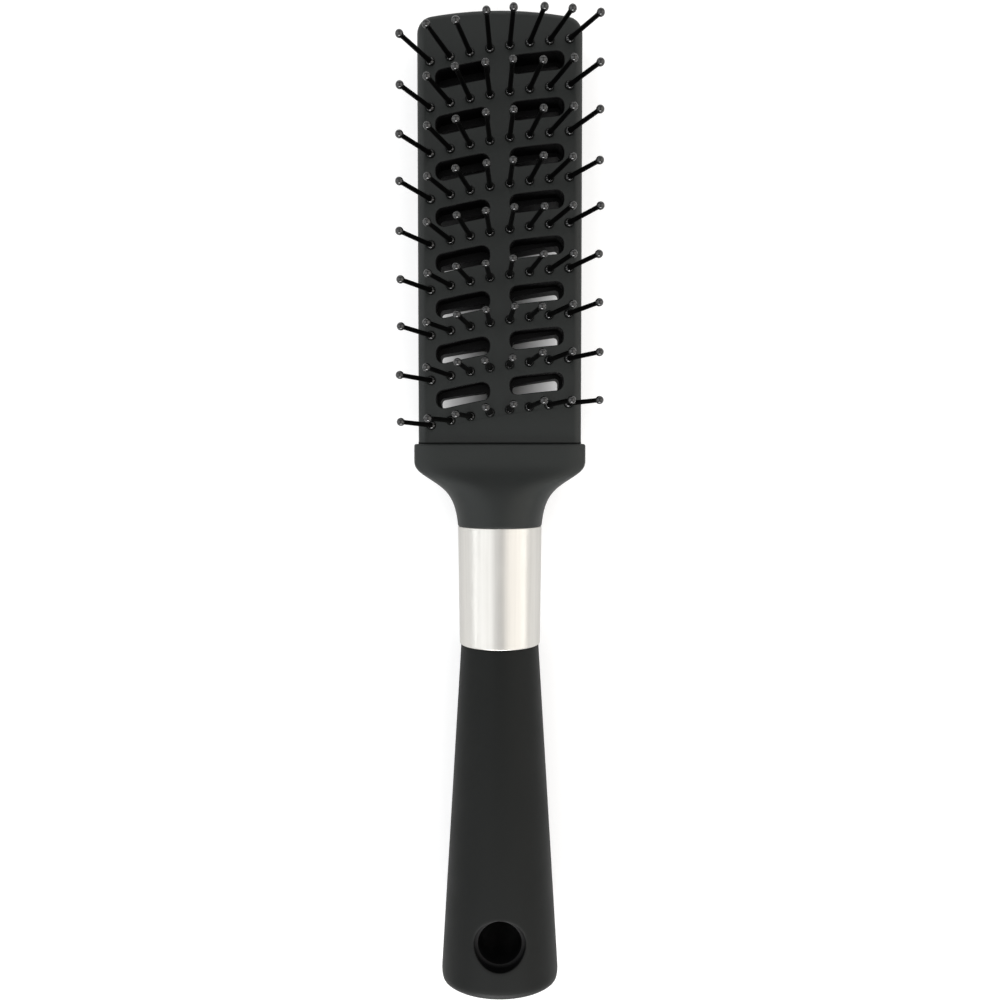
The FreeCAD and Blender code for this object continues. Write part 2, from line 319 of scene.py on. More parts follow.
class NodeTree:
    """A thin wrapper that keeps the building of node trees readable."""

    def __init__(self, tree: Tree) -> None:
        """Keeps the tree that nodes are added to."""
        self.tree = tree

    def sockets(self, way: str, names: Sequence[str] | dict[str, float], kind: str = "Float") -> None:
        """Adds inputs or outputs to a node group.

        Args:
            way: INPUT or OUTPUT.
            names: The sockets' names, with their defaults where it is a dict.
            kind: What the sockets carry.
        """
        for name in names:
            socket = self.tree.interface.new_socket(name, in_out=way, socket_type=f"NodeSocket{kind}")
            if isinstance(names, dict):
                socket.default_value = names[name]

    def feed(self, node: bpy.types.Node, inputs: Mapping[str, object]) -> None:
        """Sets or links a node's inputs.

        Args:
            node: The node.
            inputs: Values or sockets, by the input's name or number.
        """
        for key, value in inputs.items():
            socket = node.inputs[int(key)] if key.isdigit() else node.inputs[key]
            if isinstance(value, Socket):
                self.tree.links.new(value, socket)
            else:
                socket.default_value = value

    def add(self, kind: str, inputs: Mapping[str, object] | None = None,
            **settings: object) -> bpy.types.Node:
        """Adds a node.

        Args:
            kind: The node's type.
            inputs: Values or sockets, by the input's name or number.
            settings: Properties of the node.

        Returns:
            The new node.
        """
        node = self.tree.nodes.new(kind)
        for key, value in settings.items():
            setattr(node, key, value)
        self.feed(node, inputs or {})
        return node

    def math(self, operation: str, *values: object) -> Socket:
        """Adds a Math node.

        Args:
            operation: The node's operation.
            values: Numbers or sockets for its inputs.

        Returns:
            The node's output.
        """
        inputs = {str(i): value for i, value in enumerate(values)}
        return self.add("ShaderNodeMath", inputs, operation=operation).outputs[0]


@dataclass(frozen=True)
class Effects:
    """The node groups that several finishes share."""

    grain: Tree
    handling: Tree

    @classmethod
    def built(cls) -> "Effects":
        """Builds both groups."""
        return cls(cls.fine_grain(), cls.smudges())

    @staticmethod
    def fine_grain() -> Tree:
        """Builds the effect of a coating: a very fine grain, and broad patches of unevenness."""
        nodes = NodeTree(bpy.data.node_groups.new("Fine grain", "ShaderNodeTree"))
        nodes.sockets("INPUT", {"Grain Scale": 3200.0, "Patch Scale": 45.0})
        nodes.sockets("OUTPUT", ("Height", "Patch"))
        source = nodes.add("NodeGroupInput").outputs
        place = nodes.add("ShaderNodeTexCoord").outputs["Object"]
        grain = nodes.add("ShaderNodeTexNoise", {"Vector": place, "Scale": source["Grain Scale"],
                                                 "Detail": 3.0, "Roughness": 0.6})
        patch = nodes.add("ShaderNodeTexNoise", {"Vector": place, "Scale": source["Patch Scale"],
                                                 "Detail": 4.0, "Roughness": 0.55, "Distortion": 0.4})
        nodes.add("NodeGroupOutput", {"Height": grain.outputs[0], "Patch": patch.outputs[0]})
        return nodes.tree

    @staticmethod
    def smudges() -> Tree:
        """Builds the effect of handling: soft smudges from 0 to 1, drawn out along Y if asked."""
        nodes = NodeTree(bpy.data.node_groups.new("Handling", "ShaderNodeTree"))
        nodes.sockets("INPUT", {"Scale": 60.0, "Stretch": 1.0})
        nodes.sockets("OUTPUT", ("Smudge",))
        source = nodes.add("NodeGroupInput").outputs
        place = nodes.add("ShaderNodeTexCoord").outputs["Object"]
        split = nodes.add("ShaderNodeSeparateXYZ", {"0": place}).outputs
        along = nodes.math("DIVIDE", split[1], source["Stretch"])
        drawn = nodes.add("ShaderNodeCombineXYZ", {"0": split[0], "1": along, "2": split[2]})
        noise = nodes.add("ShaderNodeTexNoise", {"Vector": drawn.outputs[0], "Scale": source["Scale"],
                                                 "Detail": 5.0, "Roughness": 0.6})
        ramp = nodes.add("ShaderNodeMapRange", {"Value": noise.outputs[0], "From Min": 0.35, "From Max": 0.7})
        nodes.add("NodeGroupOutput", {"Smudge": ramp.outputs[0]})
        return nodes.tree


# Finishes


def new_material(name: str) -> tuple[Material, NodeTree, bpy.types.Node]:
    """Makes an empty material.

    Args:
        name: The material's name.

    Returns:
        The material, its node tree and its Principled BSDF.
    """
    material = bpy.data.materials.new(name)
    material.use_nodes = True
    return material, NodeTree(material.node_tree), material.node_tree.nodes["Principled BSDF"]


@dataclass(frozen=True)
class Moulded:
    """A moulded plastic that varies between two shades, with a fine grain.

    The first roughness is where no one has touched it, the second where it is smudged.
    """

    name: str
    shades: tuple[Colour, Colour]
    roughness: tuple[float, float]
    specular: float = 0.5
    relief: float = 0.02 * MM
    relief_strength: ClassVar[float] = 0.6
    metallic: ClassVar[float] = 0.0

    def masks(self, nodes: NodeTree, effects: Effects) -> tuple[Socket, ...]:
        """Adds the shared effects.

        Args:
            nodes: The material's nodes.
            effects: The shared node groups.

        Returns:
            The masks for shade and smudges, and the relief's height.
        """
        grain = nodes.add("ShaderNodeGroup", node_tree=effects.grain).outputs
        smudge = nodes.add("ShaderNodeGroup", node_tree=effects.handling).outputs[0]
        return grain["Patch"], smudge, grain["Height"]

    def material(self, effects: Effects) -> Material:
        """Builds the finish.

        Args:
            effects: The shared node groups.

        Returns:
            The material.
        """
        material, nodes, shader = new_material(self.name)
        shade, smudge, height = self.masks(nodes, effects)
        low, high = ((*colour, 1.0) for colour in self.shades)
        colour = nodes.add("ShaderNodeMix", {"0": shade, "6": low, "7": high}, data_type="RGBA")
        rough = nodes.add("ShaderNodeMapRange", {"Value": smudge, "To Min": self.roughness[0],
                                                 "To Max": self.roughness[1]})
        bump = nodes.add("ShaderNodeBump", {"Height": height, "Distance": self.relief,
                                            "Strength": self.relief_strength})
        nodes.feed(shader, {"Base Color": colour.outputs[2], "Roughness": rough.outputs[0],
                            "Normal": bump.outputs[0], "Specular IOR Level": self.specular,
                            "Metallic": self.metallic})
        return material


@dataclass(frozen=True)
class SatinMetal(Moulded):
    """Satin metal with a faint lengthwise draw."""

    relief: float = 0.002 * MM
    relief_strength: ClassVar[float] = 0.5
    metallic: ClassVar[float] = 1.0
    draw: ClassVar[dict[str, float]] = {"Scale": 900.0, "Stretch": 60.0}
    smudge_scale: ClassVar[float] = 90.0

    def masks(self, nodes: NodeTree, effects: Effects) -> tuple[Socket, ...]:
        """Adds the shared effects, with the draw for both shade and relief."""
        drawn = nodes.add("ShaderNodeGroup", self.draw, node_tree=effects.handling).outputs[0]
        smudge = nodes.add("ShaderNodeGroup", {"Scale": self.smudge_scale}, node_tree=effects.handling)
        return drawn, smudge.outputs[0], drawn


@dataclass
class Palette:
    """Every finish of the brush, built once."""

    moulded: Material
    soft: Material
    bare: Material
    gloss: Material
    shaft: Material
    silver: Material
    rod: Material

    @classmethod
    def mixed(cls) -> "Palette":
        """Builds the shared effects and every finish."""
        effects = Effects.built()
        finishes = (
            Moulded("Matte black plastic", ((0.0056, 0.0077, 0.0070), (0.0084, 0.0105, 0.0096)),
                    (0.52, 0.44), specular=0.40),
            Moulded("Soft-touch black", ((0.0030, 0.0038, 0.0034), (0.0046, 0.0053, 0.0047)),
                    (0.58, 0.50), specular=0.18),
            # Plastic without the coating, in holes, vents, grooves and the seam's gap; it is made darker than
            # the coating to paint the shade inside them, and round the front's vents it paints a dark line on
            # their rims.
            Moulded("Bare black plastic with painted shade", ((0.0012, 0.0012, 0.0014), (0.0022, 0.0022, 0.0024)),
                    (0.50, 0.40), specular=0.15),
            Moulded("Gloss black nylon", ((0.0012, 0.0012, 0.0012), (0.002, 0.002, 0.002)),
                    (0.10, 0.07), specular=0.8, relief=0.003 * MM),
            Moulded("Drawn black nylon", ((0.0006, 0.0006, 0.0006), (0.0012, 0.0012, 0.0012)),
                    (0.42, 0.34), specular=0.06, relief=0.003 * MM),
            SatinMetal("Satin silver", ((0.72, 0.705, 0.67), (0.66, 0.645, 0.61)), (0.34, 0.40)),
            Moulded("Grey rod", ((0.25, 0.25, 0.25), (0.32, 0.32, 0.32)), (0.6, 0.5)),
        )
        return cls(*(finish.material(effects) for finish in finishes))


# Shape of the brush


@dataclass(frozen=True)
class Axis:
    """Stations along the brush, from the end of the handle to the end of the head."""

    height: float = 12.25
    head_end: float = 117.85
    seam: float = 15.95
    neck_end: float = -4.05
    grip_top: float = -33.05
    grip_end: float = -117.85

    def section(self, y: float, half_width: float, half_depth: float, power: float, sides: int) -> Points:
        """Outlines a section across the brush.

        Args:
            y: The section's place.
            half_width: Half its width.
            half_depth: Half its thickness.
            power: 2 for an oval, more for a squarer form.
            sides: How many points it has.

        Returns:
            The section's points.
        """
        points: Points = []
        for i in range(sides):
            angle = 2 * math.pi * i / sides
            cosine, sine = math.cos(angle), math.sin(angle)
            x = half_width * math.copysign(abs(cosine) ** (2 / power), cosine)
            z = half_depth * math.copysign(abs(sine) ** (2 / power), sine)
            points.append(Vector((x, y, self.height + z)))
        return points


@dataclass(frozen=True)
class Rows:
    """The slanting arcs that the pins and the vents follow. Row 0 is nearest the head's end."""

    count: int = 9
    each_side: int = 4
    column_pitch: float = 4.67
    arc_radius: float = 178.0
    slant_deg: float = 9.0
    first_y: float = 108.83
    last_y: float = 23.75
    first_vent_forward: float = 0.65
    last_vent_forward: float = 0.1
    band_steps: int = 10
    corner_steps: int = 6
    corner_clearance: float = 1.25

    @property
    def pitch(self) -> float:
        """Distance between two rows."""
        return (self.first_y - self.last_y) / (self.count - 1)

    @property
    def columns(self) -> list[float]:
        """X of each pin of a row."""
        return [(i + 0.5) * self.column_pitch for i in range(-self.each_side, self.each_side)]

    def row_y(self, row: int) -> float:
        """Y of a row at the middle of the head."""
        return self.first_y - row * self.pitch

    def vent_y(self, row: int) -> float:
        """Y, at the middle of the head, of the arc that the vents below a row follow."""
        share = row / (self.count - 2)
        forward = self.first_vent_forward + (self.last_vent_forward - self.first_vent_forward) * share
        return self.row_y(row) - self.pitch / 2 + forward

    def point(self, middle_y: float, x: float, out: float = 0.0) -> Vector:
        """Finds the point at x on a row's arc.

        Args:
            middle_y: Where the arc crosses the middle of the head.
            x: The place across the head.
            out: How far outside the arc the point lies.

        Returns:
            The point, at height 0.
        """
        slant = math.radians(self.slant_deg)
        centre_x = self.arc_radius * math.sin(slant)
        centre_y = middle_y - self.arc_radius * math.cos(slant)
        rise = math.sqrt((self.arc_radius + out) ** 2 - (x - centre_x) ** 2)
        return Vector((x, centre_y + rise, 0.0))

    def band(self, middle_y: float, x_from: float, x_to: float, half_width: float, radius: float) -> Points:
        """Outlines a bar with rounded corners that follows a row's arc.

        Args:
            middle_y: Where the arc crosses the middle of the head.
            x_from: The bar's left end.
            x_to: The bar's right end.
            half_width: Half the bar's width.
            radius: The radius of its corners.

        Returns:
            The outline's points, at height 0.
        """
        steps = self.band_steps
        xs = [x_from + (x_to - x_from) * i / steps for i in range(steps + 1)]
        outline = [self.point(middle_y, x, -half_width) for x in xs]
        outline += [self.point(middle_y, x, half_width) for x in reversed(xs)]
        corners = (0, steps, steps + 1, 2 * steps + 1)
        points: Points = []
        for i, point in enumerate(outline):
            if i in corners:
                after = outline[(i + 1) % len(outline)]
                points += eased_corner(outline[i - 1], point, after, radius, self.corner_steps)
            elif min(abs(point.x - x_from), abs(point.x - x_to)) > radius * self.corner_clearance:
                points.append(point)
        return points

    def bar(self, row: int, width: float, margin: float, grow: float = 0.0) -> Points:
        """Outlines a nearly round-ended bar under a whole row.

        Args:
            row: The row.
            width: The bar's width.
            margin: How far it reaches past the outermost pins.
            grow: How far it is moved out all round.

        Returns:
            The outline's points, at height 0.
        """
        end_roundness = 0.9
        reach = self.columns[-1] + margin + grow
        half = width / 2 + grow
        return self.band(self.row_y(row), -reach, reach, half, end_roundness * half)


@dataclass
class Head:
    """The flat head: two halves with vents, and round holes in the front for the pins.

    The vents' sizes hold for the front. The back's openings are taken in by back_inset at
    each end, and are narrower by twice back_narrow (left, right). Of that, back_south is
    on the handle's side. Near the middle of the head they lose back_taper more.
    """

    axis: Axis
    rows: Rows
    width: float = 39.1
    thickness: float = 11.5
    arch_radius: float = 95.0
    corner_radius: float = 4.0
    edge_round: float = 1.9
    edge_steps: int = 8
    side_steps: int = 12
    parting: float = 0.12
    face_wall: float = 2.0
    vent_length: float = 12.7
    vent_width: float = 4.25
    vent_centre: float = 8.75
    vent_radius: float = 1.8
    vent_rim: float = 0.16
    vent_rim_steps: int = 4
    # From this loop of a back vent's rounded rim on, its wall takes the bare finish, which paints the shade
    # inside the vent.
    bare_from: int = 2
    back_inset: float = 0.7
    back_narrow: tuple[float, float] = (0.88, 0.62)
    back_south: float = 0.35
    back_taper: float = 0.55
    back_radius: float = 0.98
    seam_gap: float = 0.3
    tongue_overlap: float = 0.2
    tongue_inset: float = 0.06
    tongue_drop: float = 0.8
    hole_radius: float = 1.07
    hole_rim: float = 0.12
    hole_rim_steps: int = 3
    hole_sides: int = 24
    bar_width: float = 2.6
    bar_margin: float = 1.3
    bar_height: float = 2.0
    rib_width: float = 1.8

    @property
    def face_z(self) -> float:
        """Height of the face that the pins stand on."""
        return self.axis.height + self.thickness / 2

    @property
    def ceiling(self) -> float:
        """Height of the grooves' ceiling, under the wall of the face."""
        return self.face_z - self.face_wall

    def outline(self, inset: float, z: float) -> Points:
        """Outlines the head, taken in all round except at the seam.

        Args:
            inset: How far the outline is taken in.
            z: Its height.

        Returns:
            The outline's points.
        """
        half = self.width / 2
        arch_y = self.axis.head_end - self.arch_radius
        corner_x = half - self.corner_radius
        reach = self.arch_radius - self.corner_radius
        lean = math.asin(corner_x / reach)
        corner_y = arch_y + reach * math.cos(lean)
        low = self.axis.seam + self.seam_gap
        points = []
        for i in range(self.side_steps):
            points.append(Vector((half - inset, low + (corner_y - low) * i / self.side_steps, z)))
        steps = self.edge_steps
        radius = self.corner_radius - inset
        for i in range(steps + 1):
            turn = (math.pi / 2 - lean) * i / steps
            points.append(Vector((corner_x + radius * math.cos(turn), corner_y + radius * math.sin(turn), z)))
        radius = self.arch_radius - inset
        for i in range(1, steps):
            turn = lean * (1 - i / steps)
            points.append(Vector((radius * math.sin(turn), arch_y + radius * math.cos(turn), z)))
        mirrored = [Vector((-p.x, p.y, p.z)) for p in reversed(points)]
        return points + [Vector((0, self.axis.head_end - inset, z))] + mirrored

    def vent(self, row: int, left_right: int, grow_x: float, grow_y: float, radius: float,
             taper: float, shift: float) -> Points:
        """Outlines a vent.

        Args:
            row: The row that the vent is below.
            left_right: -1 for the left vent, 1 for the right one.
            grow_x: How far each end is moved out.
            grow_y: How far each long side is moved out.
            radius: The radius of its corners.
            taper: How much narrower the end near the middle of the head is.
            shift: How far the vent is moved toward the handle.

        Returns:
            The outline's points, at height 0.
        """
        centre = left_right * self.vent_centre
        reach = self.vent_length / 2 + grow_x
        middle_y = self.rows.vent_y(row) - shift
        half = self.vent_width / 2 + grow_y
        points = self.rows.band(middle_y, centre - reach, centre + reach, half, radius)
        for point in points:
            above = (point.y - self.rows.point(middle_y, point.x).y) / half
            inward = (centre - point.x) * left_right / reach
            point.y -= taper * min(1.0, max(0.0, above)) * (0.5 + 0.5 * inward)
        return points

    def edge_loops(self, shell: Shell, side: Side) -> list[Loop]:
        """Adds the loops of a half's outer edge, from the parting line to its face.

        Args:
            shell: The shell that they are added to.
            side: Which half it is.

        Returns:
            The loops.
        """
        way = side.value
        middle = self.axis.height
        top = middle + way * self.thickness / 2
        loops = [shell.loop(self.outline(self.parting, middle)),
                 shell.loop(self.outline(0, middle + way * self.parting))]
        for drop, inset in quarter(self.edge_round, self.edge_steps):
            loops.append(shell.loop(self.outline(inset, top - way * drop)))
        return loops

    def vent_loops(self, shell: Shell, side: Side, row: int, left_right: int) -> list[Loop]:
        """Adds the loops of a vent's wall in one half, from its face to the parting plane.

        Args:
            shell: The shell that they are added to.
            side: Which half it is.
            row: The row that the vent is below.
            left_right: -1 for the left vent, 1 for the right one.

        Returns:
            The loops.
        """
        top = self.axis.height + side.value * self.thickness / 2
        inset_x, inset_y, taper, shift, radius = 0.0, 0.0, 0.0, 0.0, self.vent_radius
        if side is Side.BACK:
            inset_x, taper, radius = self.back_inset, self.back_taper, self.back_radius
            inset_y = self.back_narrow[0 if left_right < 0 else 1]
            shift = inset_y - self.back_south
        levels = [(out, top - side.value * drop) for out, drop in quarter(self.vent_rim, self.vent_rim_steps)]
        loops = []
        for out, z in levels + [(0.0, self.axis.height)]:
            line = self.vent(row, left_right, out - inset_x, out - inset_y, radius + out, taper, shift)
            loops.append(shell.loop(raised(line, z)))
        return loops

    def tongue(self, shell: Shell, side: Side) -> None:
        """Adds the start of a half's tongue, which shows in the gap at the collar.

        Args:
            shell: The shell that it is added to.
            side: Which half it is.
        """
        reach = self.width / 2 - self.tongue_inset
        middle = self.axis.height
        top = middle + side.value * (self.thickness / 2 - self.tongue_drop)
        corners = ((-reach, middle), (reach, middle), (reach, top), (-reach, top))
        ends = []
        for y in (self.axis.seam - self.tongue_overlap, self.axis.seam + self.seam_gap + self.tongue_overlap):
            ends.append(shell.loop([Vector((x, y, z)) for x, z in corners]))
        # The tongue takes the bare finish, darker than the coating, which paints the shade in the gap at the
        # collar.
        shell.bridge(*ends, inner=True)
        for end in ends:
            shell.cap(end, inner=True)

    def groove(self, shell: Shell, row: int) -> tuple[Loop, list[Loop]]:
        """Adds a strip's groove behind the face, with its pin holes through the face.

        Args:
            shell: The front half's shell.
            row: The strip's row.

        Returns:
            The loop in the parting plane, and the loops in the face.
        """
        line = self.rows.bar(row, self.bar_width, self.bar_margin, FIT_GAP)
        low = shell.loop(raised(line, self.axis.height))
        high = shell.loop(raised(line, self.ceiling))
        # The groove's walls, the holes' bores and the groove's ceiling take the bare finish, which paints the
        # shade seen round each boss.
        shell.bridge(low, high, inner=True)
        mouths: list[Loop] = []
        bores: list[Loop] = []
        for x in self.rows.columns:
            centre = self.rows.point(self.rows.row_y(row), x)
            rings = [shell.loop(circle(centre, self.hole_radius + out, self.face_z - drop, self.hole_sides))
                     for out, drop in quarter(self.hole_rim, self.hole_rim_steps)]
            bores.append(shell.loop(circle(centre, self.hole_radius, self.ceiling, self.hole_sides)))
            shell.skin(rings)
            shell.bridge(rings[-1], bores[-1], inner=True)
            mouths.append(rings[0])
        shell.plate(high, bores, inner=True)
        return low, mouths

    def rib(self, shell: Shell, row: int) -> tuple[Loop, list[Loop]]:
        """Adds the back half's rib that holds a strip in its groove.

        Args:
            shell: The back half's shell.
            row: The strip's row.

        Returns:
            The loop in the parting plane, and no loops in the face.
        """
        line = self.rows.bar(row, self.rib_width, 0.0)
        low = shell.loop(raised(line, self.axis.height))
        high = shell.loop(raised(line, self.ceiling - self.bar_height))
        shell.bridge(low, high, inner=True)
        shell.plate(high, [], inner=True)
        return low, []

    def half(self, side: Side) -> Object:
        """Builds one half of the head.

        Args:
            side: Which half it is.

        Returns:
            The half.
        """
        shell = Shell()
        edge = self.edge_loops(shell, side)
        shell.skin(edge)
        outer_holes: list[Loop] = []
        parting_holes: list[Loop] = []
        # The vents' walls take the bare finish, darker than the coating, to paint the shade inside them; on
        # the front it starts at the rim, where it paints a dark line round each vent.
        bare_from = self.bare_from if side is Side.BACK else 0
        for row in range(self.rows.count - 1):
            for left_right in (-1, 1):
                loops = self.vent_loops(shell, side, row, left_right)
                shell.skin(loops[:bare_from + 1])
                shell.skin(loops[bare_from:], inner=True)
                outer_holes.append(loops[0])
                parting_holes.append(loops[-1])
        holder = self.groove if side is Side.FRONT else self.rib
        for row in range(self.rows.count):
            low, mouths = holder(shell, row)
            parting_holes.append(low)
            outer_holes += mouths
        shell.plate(edge[-1], outer_holes)
        shell.plate(edge[0], parting_holes, inner=True)
        self.tongue(shell, side)
        return shell.build(f"head_{side.name.lower()}_shell")

    def dress(self, palette: Palette) -> None:
        """Builds both halves in their finish and puts them in place of their nodes."""
        for side in Side:
            node = f"head_{side.name.lower()}"
            settle(self.half(side), Finish.SOFT_BLACK, node, palette.moulded, palette.bare)


@dataclass(frozen=True)
class Turned:
    """A round form along a line: its sides, its sections and its radius along the way.

    The profile's pairs are a place along the line and a share of the full radius.
    """

    sides: int
    sections: int
    profile: tuple[tuple[float, float], ...]

    def add(self, nodes: NodeTree, start: float, end: float, radius: Socket) -> Socket:
        """Adds nodes that turn an upright line into the form.

        Args:
            nodes: The geometry tree.
            start: The line's lower end, in metres.
            end: The line's upper end, in metres.
            radius: The socket with the full radius.

        Returns:
            The mesh's socket.
        """
        line = nodes.add("GeometryNodeCurvePrimitiveLine", {"Start": (0, 0, start), "End": (0, 0, end)})
        cut = nodes.add("GeometryNodeResampleCurve", {"Curve": line.outputs[0], "Count": self.sections})
        place = nodes.add("GeometryNodeSplineParameter").outputs["Factor"]
        shape = nodes.add("ShaderNodeFloatCurve", {"Value": place})
        curve = shape.mapping.curves[0]
        while len(curve.points) < len(self.profile):
            curve.points.new(0.5, 0.5)
        for point, station in zip(curve.points, self.profile):
            point.location = station
            point.handle_type = "VECTOR"
        shape.mapping.update()
        ring = nodes.add("GeometryNodeCurvePrimitiveCircle", {"Resolution": self.sides, "Radius": 1.0})
        mesh = nodes.add("GeometryNodeCurveToMesh",
                         {"Curve": cut.outputs[0], "Profile Curve": ring.outputs[0], "Fill Caps": True,
                          "Scale": nodes.math("MULTIPLY", shape.outputs[0], radius)})
        return mesh.outputs[0]


@dataclass
class Pins:
    """The gloss strips: a bar behind the face, bosses through it, and fanned ball-tipped pins."""

    head: Head
    boss_radius: float = 1.06
    boss_above: float = 0.85
    boss_below: float = 2.0
    root_radius: float = 0.8
    ball_radius: float = 0.93
    ball_segments: int = 24
    ball_rings: int = 14
    length_middle: float = 15.5
    length_outer: float = 13.2
    lean_outer_deg: float = 26.5
    lean_power: float = 1.2
    irregular_deg: float = 1.8
    irregular_across: float = 0.5
    first_seed: int = 20
    second_draw: int = 7
    tree: Tree | None = field(default=None, init=False)

    BOSS: ClassVar[Turned] = Turned(20, 52, (
        (0.0, 1.0), (0.70, 1.0), (0.75, 0.988), (0.80, 0.949), (0.85, 0.879), (0.90, 0.770),
        (0.94, 0.643), (0.97, 0.506), (1.0, 0.283)))
    SHAFT: ClassVar[Turned] = Turned(14, 32, (
        (0.0, 1.0), (0.035, 0.98), (0.06, 0.86), (0.10, 0.77), (0.16, 0.72), (0.86, 0.66),
        (0.93, 0.70), (1.0, 0.85)))

    def lean(self, x: float) -> float:
        """How far the pin at x leans outwards, in radians."""
        share = abs(x) / self.head.rows.columns[-1]
        return math.copysign(math.radians(self.lean_outer_deg) * share ** self.lean_power, x)

    def length(self, x: float) -> float:
        """Length of the pin at x, from the face to the middle of its ball."""
        share = (x / self.head.rows.columns[-1]) ** 2
        return self.length_middle + (self.length_outer - self.length_middle) * share

    def rotation(self, nodes: NodeTree, lean: Socket, source: bpy.types.NodeOutputs) -> Socket:
        """Adds nodes that lean each pin outwards and a little at random.

        Args:
            nodes: The tree.
            lean: The socket with the lean outwards.
            source: The tree's inputs.

        Returns:
            The rotation's socket.
        """
        low = nodes.math("MULTIPLY", source["Irregular"], -1.0)
        shake = []
        for step in (0, self.second_draw):
            seed = nodes.math("ADD", source["Seed"], float(step))
            drawn = nodes.add("FunctionNodeRandomValue", {"2": low, "3": source["Irregular"], "Seed": seed},
                              data_type="FLOAT")
            shake.append(drawn.outputs[1])
        across = nodes.math("ADD", lean, nodes.math("MULTIPLY", shake[0], self.irregular_across))
        turn = nodes.add("ShaderNodeCombineXYZ", {"X": shake[1], "Y": across}).outputs[0]
        return nodes.add("FunctionNodeEulerToRotation", {"0": turn}).outputs[0]

    def build_tree(self) -> Tree:
        """Builds the tree that grows bosses and pins on the points of a row."""
        nodes = NodeTree(bpy.data.node_groups.new("Ball-tipped pins", "GeometryNodeTree"))
        nodes.tree.is_modifier = True
        nodes.sockets("INPUT", ("Geometry",), "Geometry")
        nodes.sockets("INPUT", ("Boss Radius", "Pin Radius", "Ball Radius", "Irregular"))
        nodes.sockets("INPUT", ("Seed",), "Int")
        nodes.sockets("INPUT", ("Material", "Shaft Material"), "Material")
        nodes.sockets("OUTPUT", ("Geometry",), "Geometry")
        source = nodes.add("NodeGroupInput").outputs
        lean, length = (nodes.add("GeometryNodeInputNamedAttribute", {"Name": name},
                                  data_type="FLOAT").outputs[0] for name in ("lean", "length"))
        turned = self.rotation(nodes, lean, source)
        boss = self.BOSS.add(nodes, -self.boss_below * MM, self.boss_above * MM, source["Boss Radius"])
        shaft = self.SHAFT.add(nodes, 0.0, 1.0, source["Pin Radius"])
        ball = nodes.add("GeometryNodeMeshUVSphere",
                         {"Segments": self.ball_segments, "Rings": self.ball_rings,
                          "Radius": source["Ball Radius"]}).outputs[0]
        stretch = nodes.add("ShaderNodeCombineXYZ", {"X": 1.0, "Y": 1.0, "Z": length}).outputs[0]
        up = nodes.add("ShaderNodeCombineXYZ", {"Z": length}).outputs[0]
        reach = nodes.add("FunctionNodeRotateVector", {"Vector": up, "Rotation": turned}).outputs[0]
        roots = source["Geometry"]
        tips = nodes.add("GeometryNodeSetPosition", {"Geometry": roots, "Offset": reach}).outputs[0]
        joined = nodes.add("GeometryNodeJoinGeometry")
        repeats = (("Material", {"Points": roots, "Instance": boss}),
                   ("Shaft Material", {"Points": roots, "Instance": shaft, "Rotation": turned,
                                       "Scale": stretch}),
                   ("Material", {"Points": tips, "Instance": ball, "Rotation": turned}))
        for finish, grown in repeats:
            placed = nodes.add("GeometryNodeInstanceOnPoints", grown)
            real = nodes.add("GeometryNodeRealizeInstances", {"0": placed.outputs[0]})
            dressed = nodes.add("GeometryNodeSetMaterial", {"Geometry": real.outputs[0],
                                                            "Material": source[finish]})
            nodes.feed(joined, {"0": dressed.outputs[0]})
        smooth = nodes.add("GeometryNodeSetShadeSmooth", {"0": joined.outputs[0]})
        nodes.add("NodeGroupOutput", {"0": smooth.outputs[0]})
        return nodes.tree

    def row_points(self, row: int) -> Object:
        """Makes the points that one row's pins stand on, with each pin's lean and length."""
        rows = self.head.rows
        root = Vector((0, 0, self.head.face_z))
        places = [rows.point(rows.row_y(row), x) + root for x in rows.columns]
        mesh = bpy.data.meshes.new(f"row_{row + 1}_points")
        mesh.from_pydata([tuple(p * MM) for p in places], [], [])
        lean = mesh.attributes.new("lean", "FLOAT", "POINT")
        length = mesh.attributes.new("length", "FLOAT", "POINT")
        for i, x in enumerate(rows.columns):
            lean.data[i].value = self.lean(x)
            length.data[i].value = self.length(x) * MM
        return in_scene(mesh.name, mesh)

    def bar(self, row: int) -> bpy.types.Mesh:
        """Makes the bar that joins one row's bosses behind the face."""
        line = self.head.rows.bar(row, self.head.bar_width, self.head.bar_margin)
        shell = Shell()
        low = shell.loop(raised(line, self.head.ceiling - self.head.bar_height))
        high = shell.loop(raised(line, self.head.ceiling))
        shell.bridge(low, high)
        shell.plate(low, [])
        shell.plate(high, [])
        piece = shell.build(f"bar_{row + 1}")
        mesh = piece.data
        bpy.data.objects.remove(piece)
        return mesh

    def grown(self, row: int, palette: Palette) -> Object:
        """Grows one row's bosses and pins and makes them a plain mesh.

        Args:
            row: The row.
            palette: The finishes.

        Returns:
            The finished strip.
        """
        points = self.row_points(row)
        modifier = points.modifiers.new("Ball-tipped pins", "NODES")
        modifier.node_group = self.tree
        values = {"Boss Radius": self.boss_radius * MM, "Pin Radius": self.root_radius * MM,
                  "Ball Radius": self.ball_radius * MM, "Irregular": math.radians(self.irregular_deg),
                  "Seed": self.first_seed + row, "Material": palette.gloss, "Shaft Material": palette.shaft}
        for item in self.tree.interface.items_tree:
            if item.in_out == "INPUT" and item.name in values:
                modifier[item.identifier] = values[item.name]
        points.data.update()
        bpy.context.view_layer.update()
        evaluated = points.evaluated_get(bpy.context.evaluated_depsgraph_get())
        mesh = bpy.data.meshes.new_from_object(evaluated)
        points.modifiers.remove(modifier)
        bpy.data.objects.remove(points)
        work = bmesh.new()
        work.from_mesh(mesh)
        work.from_mesh(self.bar(row))
        work.to_mesh(mesh)
        work.free()
        mesh.name = f"strip_{row + 1}"
        return in_scene(mesh.name, mesh)

    def dress(self, palette: Palette) -> None:
        """Builds every strip and puts it in place of its node."""
        self.tree = self.build_tree()
        for row in range(self.head.rows.count):
            settle(self.grown(row, palette), Finish.GLOSS_BLACK, f"pin_strip_{row + 1}")


